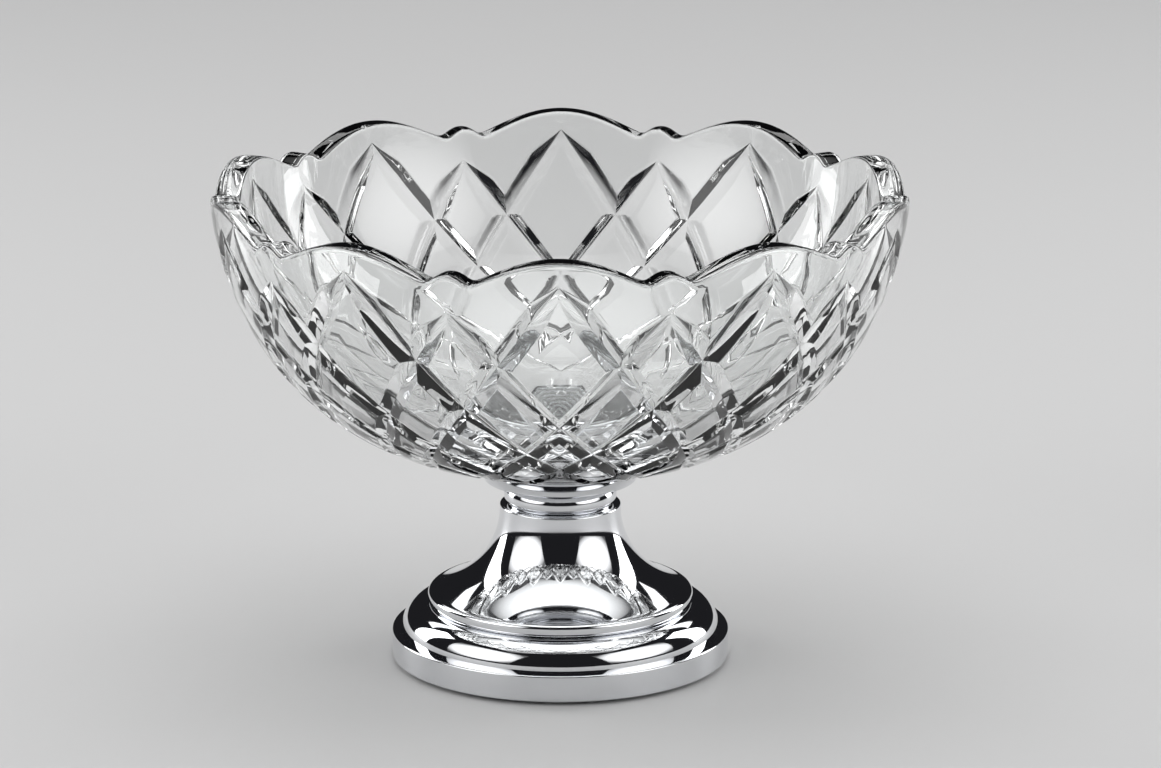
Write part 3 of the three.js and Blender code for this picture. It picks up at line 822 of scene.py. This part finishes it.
def turned_rings(size, radius, height):
    """Shallow rings turned into the recess for the bond: sink = depth * sin(pi * rings * r / radius) ** 2."""
    place = np.linspace(radius, 0, size.rings * ARC_STEPS + 1)
    sink = size.recess_ring * np.sin(math.pi * size.rings * place / radius) ** 2
    return np.stack([place, height - sink], axis=-1)


def neck_profile(size, rod_hole):
    """Half section of the neck ring: an arc of a circle for the bead, then a short plain collar."""
    low, high = (corner.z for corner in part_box("neck_ring"))
    radius = size.neck_radius
    half = size.neck_bead / 2
    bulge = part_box("neck_ring")[1].x - radius
    bend = (half * half + bulge * bulge) / (2 * bulge)
    sweep = math.asin(half / bend)
    return outline(
        (rod_hole, low),
        arc((radius + bulge - bend, low + half), bend, -sweep, sweep),
        (radius, high),
        (rod_hole, high),
    )


def stem_profile(size, rod_hole):
    """Half section of the spun stem: rounded lip, flare, straight top, flange and the same line inside."""
    low, high = (corner.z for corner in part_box("trumpet_stem"))
    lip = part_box("trumpet_stem")[1].x - size.lip_edge
    wall = size.stem_wall
    edge = size.stem_edge
    radius = size.stem_radius
    lip_top = low + size.lip_height
    straight = high - size.stem_straight
    bend = straight - size.stem_curve
    flare = lip_top + size.flare_rise
    mouth = lip - wall
    bore = radius - wall
    return outline(
        (mouth, low),
        arc((lip, low + size.lip_edge), size.lip_edge, DOWN, RIGHT),
        arc((lip, lip_top - size.lip_edge), size.lip_edge, RIGHT, UP),
        curve((lip, lip_top), (lip - size.flare_reach, flare), (radius, bend), (radius, straight))[1:],
        arc((radius - edge, high - edge), edge, RIGHT, UP),
        (rod_hole, high),
        (rod_hole, high - wall),
        (bore, high - wall),
        curve(
            (bore, straight - wall),
            (bore, bend - wall),
            (mouth - size.flare_reach, flare - wall),
            (mouth, lip_top - wall),
        ),
    )


def base_profile(size, rod_hole):
    """Half section of the base: plain band, quarter-round ring, hub, and the hollow with its ledge."""
    low, high = (corner.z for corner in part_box("stepped_base"))
    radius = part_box("stepped_base")[1].x
    edge = size.band_edge
    ring = size.ring_radius
    band_top = low + size.band_height
    ring_low = band_top + size.ring_step
    ring_centre = radius - size.ring_set_back - ring
    pocket = radius - size.base_wall
    ledge = pocket - size.ledge
    ledge_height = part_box("base_cover")[1].z
    inner = ring - size.hub
    inner_centre = min(ring_centre, ledge - inner)
    return outline(
        (pocket, low),
        arc((radius - edge, low + edge), edge, DOWN, RIGHT),
        arc((radius - edge, band_top - edge), edge, RIGHT, UP),
        (ring_centre + ring, band_top),
        arc((ring_centre, ring_low), ring, RIGHT, UP),
        (rod_hole, high),
        (rod_hole, high - size.hub),
        arc((inner_centre, ring_low), inner, UP, RIGHT),
        (ledge, ledge_height),
        (pocket, ledge_height),
    )


def disc_profile(node, edge, bore=0.0, gap=0.0):
    """Half section of a disc or ring as large as a CAD node, with rounded edges and an even gap all round."""
    low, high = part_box(node)
    bottom, top, radius = low.z + gap, high.z - gap, high.x - gap
    return outline(
        (bore, bottom),
        arc((radius - edge, bottom + edge), edge, DOWN, RIGHT),
        arc((radius - edge, top - edge), edge, RIGHT, UP),
        (bore, top),
    )


def threaded_rod():
    """The tie rod. Its radius falls and climbs with height and angle as a V thread, and its ends are
    chamfered: radius = crest - depth * triangle(height / pitch - angle / turn)."""
    low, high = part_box("tie_rod")
    rows = int((high.z - low.z) / THREAD_PITCH * THREAD_STEPS) + 1
    height = np.linspace(low.z, high.z, rows)[:, None]
    angle = round_angles(ROD_COLUMNS)
    phase = (height / THREAD_PITCH - angle / TURN) % 1
    thread = high.x - THREAD_DEPTH * np.abs(2 * phase - 1)
    chamfer = high.x - THREAD_DEPTH + np.minimum(height - low.z, high.z - height)
    side = round_points(angle, np.minimum(thread, chamfer), height)
    bottom, top = (np.broadcast_to((0, 0, end), (1, ROD_COLUMNS, 3)) for end in (low.z, high.z))
    points = np.concatenate([bottom, side, top])
    index = round_grid(len(points), ROD_COLUMNS, closed=False)
    return mesh_piece("threaded_tie_rod", points, cells(index), THREAD_SHARP)


def hexagon_nut(rod_hole):
    """The rod nut. Its outer radius is that of a hexagon, cut by a cone at each end:
    radius = min(half width / cos(angle to the nearest flat), face + rise from the end * cone)."""
    low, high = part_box("rod_nut")
    half = high.y
    angle = round_angles(SMALL_COLUMNS)
    side_turn = TURN / NUT_SIDES
    hexagon = half / np.cos(angle - side_turn * np.round(angle / side_turn))
    height = np.linspace(low.z, high.z, NUT_ROWS)[:, None]
    rise = np.minimum(height - low.z, high.z - height)
    side = round_points(angle, np.minimum(hexagon, half * NUT_FACE + rise * NUT_CONE), height)
    mouth = rod_hole + NUT_LEAD
    below = [round_points(angle, rod_hole, low.z + NUT_LEAD), round_points(angle, mouth, low.z)]
    above = [round_points(angle, mouth, high.z), round_points(angle, rod_hole, high.z - NUT_LEAD)]
    points = np.concatenate([*below, side, *above])
    index = round_grid(len(points), SMALL_COLUMNS, closed=True)
    return mesh_piece("hexagon_nut", points, cells(index), NUT_SHARP)


def put(piece, node, material):
    """Puts a finished piece in a CAD node's place, on its body, with its material."""
    piece.data.materials.append(material)
    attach(piece, BODY)
    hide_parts(node)


def dress(node, material):
    """Gives a CAD node a finished material."""
    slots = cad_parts[node].data.materials
    slots.clear()
    slots.append(material)


def rod_hole_radius(size):
    """Radius of the holes that the rod passes through."""
    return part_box("tie_rod")[1].x + size.clearance


class BowlOperator:
    """What the operators share."""

    bl_options = {"REGISTER", "UNDO"}

    def execute(self, context):
        self.build(context.scene)
        return {"FINISHED"}


class FRUITBOWL_OT_glass(BowlOperator, bpy.types.Operator):
    """Build the cut glass bowl and the clear bond under it"""

    bl_idname = "fruitbowl.glass"
    bl_label = "Cut glass bowl"

    def build(self, scene):
        size = scene.fruitbowl_glass
        low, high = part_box("glass_bowl")
        put(glass_piece(size, low.z, high.z), "glass_bowl", cut_glass_material(size))
        bond = turned("bond_disc", disc_profile("bond_layer", DISC_EDGE, gap=BOND_GAP), SMALL_COLUMNS)
        put(bond, "bond_layer", bond_material(size))


class FRUITBOWL_OT_foot(BowlOperator, bpy.types.Operator):
    """Build the turned chrome foot: dish, neck ring, stem and base"""

    bl_idname = "fruitbowl.foot"
    bl_label = "Chrome foot"

    def build(self, scene):
        size = scene.fruitbowl_foot
        hole = rod_hole_radius(size)
        chrome = chrome_material(size)
        put(turned("chrome_dish", dish_profile(size, hole)), "bowl_dish", chrome)
        put(turned("chrome_neck", neck_profile(size, hole)), "neck_ring", chrome)
        put(turned("chrome_stem", stem_profile(size, hole)), "trumpet_stem", chrome)
        put(turned("chrome_base", base_profile(size, hole)), "stepped_base", chrome)


class FRUITBOWL_OT_fasteners(BowlOperator, bpy.types.Operator):
    """Build the threaded rod and its nut, and finish the washers"""

    bl_idname = "fruitbowl.fasteners"
    bl_label = "Rod and fasteners"

    def build(self, scene):
        size = scene.fruitbowl_foot
        hole = rod_hole_radius(size)
        zinc = zinc_material(size)
        put(threaded_rod(), "tie_rod", zinc)
        put(hexagon_nut(hole), "rod_nut", zinc)
        washer = turned("plain_washer", disc_profile("flat_washer", DISC_EDGE, hole), SMALL_COLUMNS)
        put(washer, "flat_washer", zinc)
        dress("lock_washer", zinc)


class FRUITBOWL_OT_underside(BowlOperator, bpy.types.Operator):
    """Build the felt pad and finish the board that closes the base"""

    bl_idname = "fruitbowl.underside"
    bl_label = "Cover and felt"

    def build(self, scene):
        size = scene.fruitbowl_foot
        pad = turned("felt_disc", disc_profile("felt_pad", FELT_EDGE))
        put(pad, "felt_pad", felt_material(size))
        dress("base_cover", board_material(size))


class FRUITBOWL_OT_stage(BowlOperator, bpy.types.Operator):
    """Set the floor, the lights and the camera"""

    bl_idname = "fruitbowl.stage"
    bl_label = "Stage"

    def build(self, scene):
        size = scene.fruitbowl_stage
        scene.view_settings.view_transform = "Standard"
        self.floor(scene, size.floor)
        self.room(scene, size.room)
        for name, (place, aim, extent, power, fades) in SOFTBOXES.items():
            fade = size.fade if fades else 0.0
            self.softbox(scene, name, place, aim, extent, getattr(size, power), fade)
        self.camera(scene, size)

    def floor(self, scene, colour):
        """A plain square under the felt."""
        mesh = bpy.data.meshes.new("floor")
        signs = [(-1, -1), (1, -1), (1, 1), (-1, 1)]
        corners = [(x * FLOOR_REACH, y * FLOOR_REACH, -FLOOR_DROP) for x, y in signs]
        mesh.from_pydata(corners, [], [(0, 1, 2, 3)])
        floor = bpy.data.objects.new("floor", mesh)
        scene.collection.objects.link(floor)
        mesh.materials.append(floor_material(colour))

    def room(self, scene, colour):
        """A world of one colour."""
        world = bpy.data.worlds.new("studio")
        scene.world = world
        world.use_nodes = True
        world.node_tree.nodes["Background"].inputs["Color"].default_value = (*colour, 1)

    def softbox(self, scene, name, place, aim, extent, power, fade):
        """An area lamp that dims with the square of the distance from its middle."""
        lamp = bpy.data.lights.new(name, "AREA")
        lamp.shape = "RECTANGLE"
        lamp.size, lamp.size_y = extent
        lamp.energy = power
        lamp.use_nodes = True
        start = Link(lamp.node_tree)
        spot = start.node("ShaderNodeNewGeometry", output="Parametric")
        sockets = {0: spot, 1: (0.5, 0.5, 0)}
        away = start.node("ShaderNodeVectorMath", {"operation": "DISTANCE"}, sockets, output="Value")
        glow = start.math("MAXIMUM", 1.0 - away * away * fade, LEAST_GLOW)
        lamp.node_tree.links.new(glow.socket, lamp.node_tree.nodes["Emission"].inputs["Color"])
        made = bpy.data.objects.new(name, lamp)
        made.location = place
        gaze = np.subtract(aim, place)
        flat = math.hypot(gaze[0], gaze[1])
        made.rotation_euler = (math.atan2(flat, -gaze[2]), 0, math.atan2(gaze[1], gaze[0]) - UP)
        scene.collection.objects.link(made)

    def camera(self, scene, size):
        """The photograph's view: level across, and pitched down."""
        lens = bpy.data.cameras.new("camera")
        lens.sensor_fit = "HORIZONTAL"
        lens.sensor_width = SENSOR_WIDTH
        lens.lens = size.lens
        made = bpy.data.objects.new("camera", lens)
        made.location = size.camera_place
        made.rotation_euler = (UP - size.camera_pitch, 0, 0)
        scene.collection.objects.link(made)
        scene.camera = made


class FRUITBOWL_PT_panel(bpy.types.Panel):
    """Sizes, colours and builders of the fruit bowl"""

    bl_idname = "FRUITBOWL_PT_panel"
    bl_label = "Fruit bowl"
    bl_space_type = "VIEW_3D"
    bl_region_type = "UI"
    bl_category = "Fruit bowl"

    def draw(self, context):
        for group in GROUPS:
            settings = getattr(context.scene, group)
            box = self.layout.box()
            for name in settings.bl_rna.properties.keys():
                if name not in ("rna_type", "name"):
                    box.prop(settings, name)
        for operator in OPERATORS:
            self.layout.operator(operator.bl_idname)


GROUPS = {
    "fruitbowl_glass": GlassSettings,
    "fruitbowl_foot": FootSettings,
    "fruitbowl_stage": StageSettings,
}
OPERATORS = (
    FRUITBOWL_OT_glass,
    FRUITBOWL_OT_foot,
    FRUITBOWL_OT_fasteners,
    FRUITBOWL_OT_underside,
    FRUITBOWL_OT_stage,
)
CLASSES = (*GROUPS.values(), *OPERATORS, FRUITBOWL_PT_panel)


def register():
    for each in CLASSES:
        bpy.utils.register_class(each)
    for name, group in GROUPS.items():
        setattr(bpy.types.Scene, name, bpy.props.PointerProperty(type=group))


def unregister():
    for name in GROUPS:
        delattr(bpy.types.Scene, name)
    for each in reversed(CLASSES):
        bpy.utils.unregister_class(each)


def main():
    """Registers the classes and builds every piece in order."""
    register()
    bpy.ops.fruitbowl.glass()
    bpy.ops.fruitbowl.foot()
    bpy.ops.fruitbowl.fasteners()
    bpy.ops.fruitbowl.underside()
    bpy.ops.fruitbowl.stage()
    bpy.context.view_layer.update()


if __name__ == "__main__":
    main()
